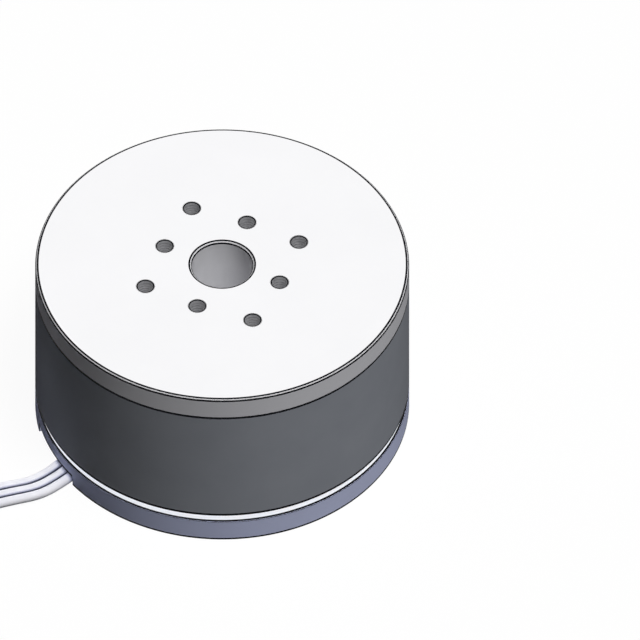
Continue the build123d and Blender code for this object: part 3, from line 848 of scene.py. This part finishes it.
pressed.relief(pressed.effect(lathe_marks, Fineness=4000.0), 0.003)
pressed = pressed.done()

# A shield's section, as radius and depth below its outer face
bearing_width = 5.0
shield_inset = 0.12
shield_section = [
    (6.6, 0.15), (7.85, 0.15), (8.0, 0.25), (8.38, 0.25), (8.38, 0.1), (8.05, 0.1), (7.9, 0), (6.7, 0),
    (6.6, 0.07),
]
for place, ring_bottom in (("upper", shelf_top), ("lower", shelf_bottom - bearing_width)):
    for node, material in (
        ("inner_ring", ground), ("outer_ring", ground), ("balls", ball_steel), ("cage", cage_nylon),
    ):
        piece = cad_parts[f"{place}_bearing_{node}"]
        piece.data.materials.clear()
        piece.data.materials.append(material)
    top_face = ring_bottom + bearing_width - shield_inset
    bottom_face = ring_bottom + shield_inset
    shields = gathered([
        turned([(radius, face + inward * depth) for radius, depth in shield_section])
        for face, inward in ((top_face, -1), (bottom_face, 1))
    ])
    make_piece(
        shields, f"{place}_shields_pressed", pressed, "stator", "shield_steel", f"{place}_bearing_shields",
    )

# The rotor's cap and hollow shaft are one turned piece of bright aluminium. Its face has
# two circles of four tapped holes, and 22 short posts under its rim space the magnets.
cap_bottom, cap_top = 21.75, round(cad_high[2] / mm, 3)
shaft_end, shaft_radius, shaft_chamfer = 3.15, 4.99, 0.3
bore_radius = 3.75
hub_radius, hub_bottom = 6.2, 20.2
relief_inner, relief_outer, relief_top = 13.0, 19.74, 22.75

# The chamfers of the rim and of the bore's mouth, and the depths below the face at which their
# painted dark lines start and end. These painted shade lines also take a little of the walls and of the face.
rim_chamfer, mouth_chamfer = 0.25, 0.28
rim_steps = (rim_chamfer, 0.15, 0.05, 0)
mouth_steps = (0, 0.07, 0.19, mouth_chamfer)
rim_line_depth, rim_line_radius = 0.36, 22.58
mouth_line_depth, mouth_line_radius = 0.4, 4.17
seam_line_top = 21.92

cap_profile = [
    (bore_radius + chamfer, shaft_end), (shaft_radius - shaft_chamfer, shaft_end),
    (shaft_radius, shaft_end + shaft_chamfer), (shaft_radius, hub_bottom), (hub_radius - chamfer, hub_bottom),
    (hub_radius, hub_bottom + chamfer), (hub_radius, cap_bottom), (relief_inner, cap_bottom),
    (relief_inner, relief_top - chamfer), (relief_inner + chamfer, relief_top),
    (relief_outer - chamfer, relief_top), (relief_outer, relief_top - chamfer), (relief_outer, cap_bottom),
    (body_radius - chamfer, cap_bottom), (body_radius, cap_bottom + chamfer), (body_radius, seam_line_top),
    (body_radius, cap_top - rim_line_depth),
]
cap_profile += [(body_radius - rim_chamfer + depth, cap_top - depth) for depth in rim_steps]
cap_profile += [(rim_line_radius, cap_top), (mouth_line_radius, cap_top)]
cap_profile += [(bore_radius + mouth_chamfer - depth, cap_top - depth) for depth in mouth_steps]
cap_profile += [(bore_radius, cap_top - mouth_line_depth), (bore_radius, shaft_end + chamfer)]

bright = Finish("satin_aluminium", (0.94, 0.94, 0.955), 0.0, 0.45, specular=0.0)
rings = bright.effect(lathe_marks, Fineness=2400.0)
haze = bright.effect(smudges, Scale=110.0, Amount=0.3)
# The near-black edge colour below is painted shade: dark outlines along the cap's edges.
wear_and_painted_outline = bright.effect(edge_wear_and_painted_outline, Width=0.2 * mm, Patchiness=600.0)
bright.shade(haze, (0.885, 0.885, 0.9))
bright.shade(wear_and_painted_outline, (0.03, 0.03, 0.03))
bright.gloss(rings, 0.34, 0.54)
bright.relief(rings, 0.006)
bright.relief(bright.noise(15000, 3), 0.002)

magnet_count = 22
post_inner, post_outer, post_half_width, post_bottom = 20.5, 22.02, 1.0, 17.55
post_root = 0.2
outer_hole_radius, inner_hole_radius, cap_hole_depth = 10.15, 7.7, 3.4

cap_shape = turned(cap_profile)
post = block(
    (post_inner, -post_half_width, post_bottom), (post_outer, post_half_width, cap_bottom + post_root),
    rounding=0.15, segments=2,
)
cap_shape = combine(cap_shape, repeated(post, magnet_count, start=180 / magnet_count), "UNION")
outer_holes = repeated(moved(tapped_hole(cap_hole_depth), (outer_hole_radius, 0, cap_top)), 4)
cap_shape = combine(cap_shape, outer_holes)
inner_holes = repeated(moved(tapped_hole(cap_hole_depth), (inner_hole_radius, 0, cap_top)), 4, start=45)
cap_shape = combine(cap_shape, inner_holes)
# A darker copy of the cap's finish for its outer wall: painted shade that darkens the wall against the face.
painted_shade_wall = Finish("cap_wall_painted_shade", (0.8, 0.8, 0.84), 0.0, 0.5, specular=0.0)
rings = painted_shade_wall.effect(lathe_marks, Fineness=2400.0)
painted_shade_wall.shade(painted_shade_wall.effect(smudges, Scale=110.0, Amount=0.3), (0.75, 0.75, 0.785))
painted_shade_wall.gloss(rings, 0.4, 0.58)
painted_shade_wall.relief(rings, 0.006)
painted_shade_wall = painted_shade_wall.done()
# A darker copy of the cap's aluminium for the bore and the rim's chamfer: painted shade, with painted dark
# outlines at its edges.
painted_shade_bore = Finish("bore_and_chamfer_painted_shade", (0.68, 0.68, 0.7), 0.0, 0.4, specular=0.02)
rings = painted_shade_bore.effect(lathe_marks, Fineness=3200.0)
painted_shade_bore.shade(painted_shade_bore.effect(smudges, Scale=300.0, Amount=0.5), (0.6, 0.6, 0.62))
painted_shade_bore.shade(painted_shade_bore.effect(edge_wear_and_painted_outline, Width=0.2 * mm, Patchiness=600.0), (0.03, 0.03, 0.03))
painted_shade_bore.gloss(rings, 0.3, 0.5)
painted_shade_bore.relief(rings, 0.006)
painted_shade_bore = painted_shade_bore.done()
# Dark paint in the tapped holes: painted shade in the recesses.
threads = Finish("threads_painted_shade", (0.25, 0.25, 0.26), 0.0, 0.4, specular=0.02)
threads.shade(threads.effect(smudges, Scale=900.0, Amount=0.8), (0.16, 0.16, 0.17))
threads.gloss(threads.effect(smudges, Scale=700.0, Amount=1.0), 0.3, 0.5)
threads.relief(threads.noise(9000, 2), 0.006)
threads = threads.done()
hole_reach = 1.26
hole_centers = [
    Matrix.Rotation(math.radians(first + 90 * quarter), 3, "Z") @ Vector((circle, 0, 0))
    for circle, first in ((outer_hole_radius, 0), (inner_hole_radius, 45)) for quarter in range(4)
]


def is_bored(center, normal):
    """The wall and chamfer of the shaft's bore, and the bright part of the rim's chamfer: a darker copy of
    the cap's aluminium, as painted shade.
    """
    radius, depth = center.xy.length, cap_top - center.z
    on_chamfer = radius > rim_line_radius and rim_steps[2] < depth < rim_steps[1]
    return radius < bore_radius + mouth_chamfer or on_chamfer


def in_hole(center, normal):
    """The threads of the eight tapped holes, painted dark as painted shade in the holes."""
    on_face = abs(normal.z) > 0.98 and center.z > cap_top - 0.005
    return not on_face and any((hole - center).xy.length < hole_reach for hole in hole_centers)


def on_cap_wall(center, normal):
    """The cap's outer wall, in a darker copy of its face's finish: painted shade."""
    return center.xy.length > body_radius - 0.03 and center.z > seam_line_top


def on_cap_edge(center, normal):
    """The painted dark lines, standing in for shade, along the rim, the seam with the bell, and the mouths of
    bore and holes.
    """
    radius, depth = center.xy.length, cap_top - center.z
    rim_lines = depth < rim_steps[2] or rim_steps[1] < depth < rim_line_depth
    mouth_lines = depth < mouth_steps[1] or mouth_steps[2] < depth < mouth_line_depth
    if radius > rim_line_radius and rim_lines or radius < mouth_line_radius and mouth_lines:
        return True
    on_seam = radius > body_radius - chamfer and center.z < seam_line_top
    return on_seam or depth < 0.05 and in_hole(center, normal)


make_piece(
    cap_shape, "rotor_cap_turned", bright.done(), "rotor", "cap_aluminium", "rotor_cap",
    areas=((painted_shade_wall, on_cap_wall), (painted_shade_bore, is_bored), (threads, in_hole), (painted_outline, on_cap_edge)),
)

# The bell is a plain steel tube, flush with the cap and plated dark grey. It closes the
# magnets' circuit and is glued on under the cap.
bell_bottom, bell_inner = 4.25, 22.1
seam_chamfer = 0.12
bell_line_top, bell_line_bottom = 4.63, 21.57
bell_profile = [
    (bell_inner, bell_bottom + chamfer), (bell_inner + chamfer, bell_bottom),
    (body_radius - rim_break, bell_bottom), (body_radius, bell_bottom + rim_break),
    (body_radius, bell_line_top), (body_radius, bell_line_bottom),
    (body_radius, cap_bottom - seam_chamfer), (body_radius - seam_chamfer, cap_bottom),
    (bell_inner, cap_bottom),
]
plated = Finish("dark_plated_steel", (0.375, 0.395, 0.44), 0.0, 0.45, specular=0.0)
rings = plated.effect(lathe_marks, Fineness=2200.0)
haze = plated.effect(smudges, Scale=120.0, Amount=0.4)
# The near-black edge colour below is painted shade: dark outlines along the bell's edges.
wear_and_painted_outline = plated.effect(edge_wear_and_painted_outline, Width=0.2 * mm, Patchiness=600.0)
plated.shade(haze, (0.30, 0.32, 0.365))
plated.shade(wear_and_painted_outline, (0.02, 0.02, 0.025))
plated.gloss(rings, 0.34, 0.52)
plated.relief(rings, 0.005)


def on_bell_edge(center, normal):
    """The painted dark lines, standing in for shade, along the lower edge of the bell and at its seam with
    the cap.
    """
    outside = center.xy.length > body_radius - 0.15
    return outside and (center.z < bell_line_top or center.z > bell_line_bottom)


make_piece(
    turned(bell_profile), "bell_tube", plated.done(), "rotor", "bell_steel", "bell_ring",
    areas=((painted_outline, on_bell_edge),),
)

# The magnets are nickel-plated bars, glued into the bell with their poles by turns in and
# out. North and south are told apart in the parts list, and look the same.
nickel = Finish("nickel_plating", (0.66, 0.67, 0.76), 0.85, 0.3)
haze = nickel.effect(smudges, Scale=500.0, Amount=0.7)
nickel.shade(haze, (0.5, 0.51, 0.58))
nickel.gloss(haze, 0.2, 0.42)
nickel.relief(nickel.noise(8000, 2), 0.004)
nickel = nickel.done()
magnet_front, magnet_thickness, magnet_half_width = 20.492, 1.5, 1.85
magnet_bottom, magnet_glue = 5.02, 0.03
for pole, first in (("north", 0), ("south", 1)):
    bars = block(
        (magnet_front, -magnet_half_width, magnet_bottom),
        (magnet_front + magnet_thickness, magnet_half_width, cap_bottom - magnet_glue),
        rounding=0.2, segments=3,
    )
    repeated(bars, magnet_count // 2, start=first * 360 / magnet_count)
    make_piece(bars, f"magnets_{pole}_plated", nickel, "rotor", "magnet_nickel", f"magnets_{pole}")

# The shaft nut is a thick steel hexagon with a round face against the lower bearing. Its
# lower corners are turned back at 30 degrees.
nut_turn = 15.6
nut_flats, nut_corner_radius, nut_corner_start = 12, 6.928, 1.494
nut_bottom, nut_collar_bottom, nut_top = 0.9, 5.7, 6.0
nut_collar_radius, nut_collar_chamfer = 6.2, 0.08
thread_radius, thread_chamfer = 5.0, 0.15
nut_bright = Finish("zinc_plated_nut", (0.62, 0.62, 0.64), 0.6, 0.35)
rings = nut_bright.effect(lathe_marks, Fineness=3000.0)
nut_bright.shade(nut_bright.effect(smudges, Scale=300.0, Amount=0.6), (0.5, 0.5, 0.53))
nut_bright.shade(nut_bright.effect(edge_wear_and_painted_outline, Width=0.12 * mm, Patchiness=600.0), (0.75, 0.75, 0.77))
nut_bright.gloss(rings, 0.28, 0.46)
nut_bright.relief(rings, 0.004)
nut_blank = turned([
    (thread_radius + thread_chamfer, nut_bottom), (nut_flats / 2 - chamfer, nut_bottom),
    (nut_corner_radius, nut_corner_start), (nut_corner_radius, nut_collar_bottom),
    (nut_collar_radius, nut_collar_bottom), (nut_collar_radius, nut_top - nut_collar_chamfer),
    (nut_collar_radius - nut_collar_chamfer, nut_top), (thread_radius + chamfer, nut_top),
    (thread_radius, nut_top - chamfer), (thread_radius, nut_bottom + thread_chamfer),
])
hexagon = bmesh.new()
hexagon_radius = nut_flats / math.sqrt(3) * mm
bmesh.ops.create_cone(
    hexagon, cap_ends=True, segments=6, radius1=hexagon_radius, radius2=hexagon_radius, depth=8 * mm,
)
moved(hexagon, (0, 0, 4), turn=nut_turn + 30)
nut_shape = combine(nut_blank, hexagon, "INTERSECT")
make_piece(nut_shape, "shaft_nut_hexagon", nut_bright.done(), "rotor", "nut_steel", "shaft_nut")

# The lock ring is a short slotted steel ring, screwed into the nut from below until it
# jams on the end of the shaft.
ring_finish = Finish("slotted_ring_steel", (0.6, 0.6, 0.61), 0.6, 0.35)
rings = ring_finish.effect(lathe_marks, Fineness=3000.0)
ring_finish.shade(ring_finish.effect(smudges, Scale=300.0, Amount=0.6), (0.48, 0.48, 0.5))
ring_finish.gloss(rings, 0.28, 0.46)
ring_finish.relief(rings, 0.004)
lock_bottom, lock_rounding, lock_break = 0.6, 0.4, 0.08
slot_half_width, slot_reach, slot_top = 0.6, 5.5, 1.2
lock_profile = [(bore_radius + lock_break, lock_bottom)]
for step in range(5):
    angle = math.radians(22.5 * step)
    lock_profile.append((
        round(shaft_radius - lock_rounding * (1 - math.sin(angle)), 3),
        round(lock_bottom + lock_rounding * (1 - math.cos(angle)), 3),
    ))
lock_profile += [
    (shaft_radius, shaft_end - chamfer), (shaft_radius - chamfer, shaft_end),
    (bore_radius + chamfer, shaft_end), (bore_radius, shaft_end - chamfer),
    (bore_radius, lock_bottom + lock_break),
]
ring_shape = turned(lock_profile)
for direction, reach_x, reach_y in (("x", slot_reach, slot_half_width), ("y", slot_half_width, slot_reach)):
    slot = block((-reach_x, -reach_y, 0.2), (reach_x, reach_y, slot_top), 0.1, along=direction, segments=2)
    ring_shape = combine(ring_shape, slot)
make_piece(ring_shape, "lock_ring_slotted", ring_finish.done(), "rotor", "lock_ring_steel", "lock_ring")
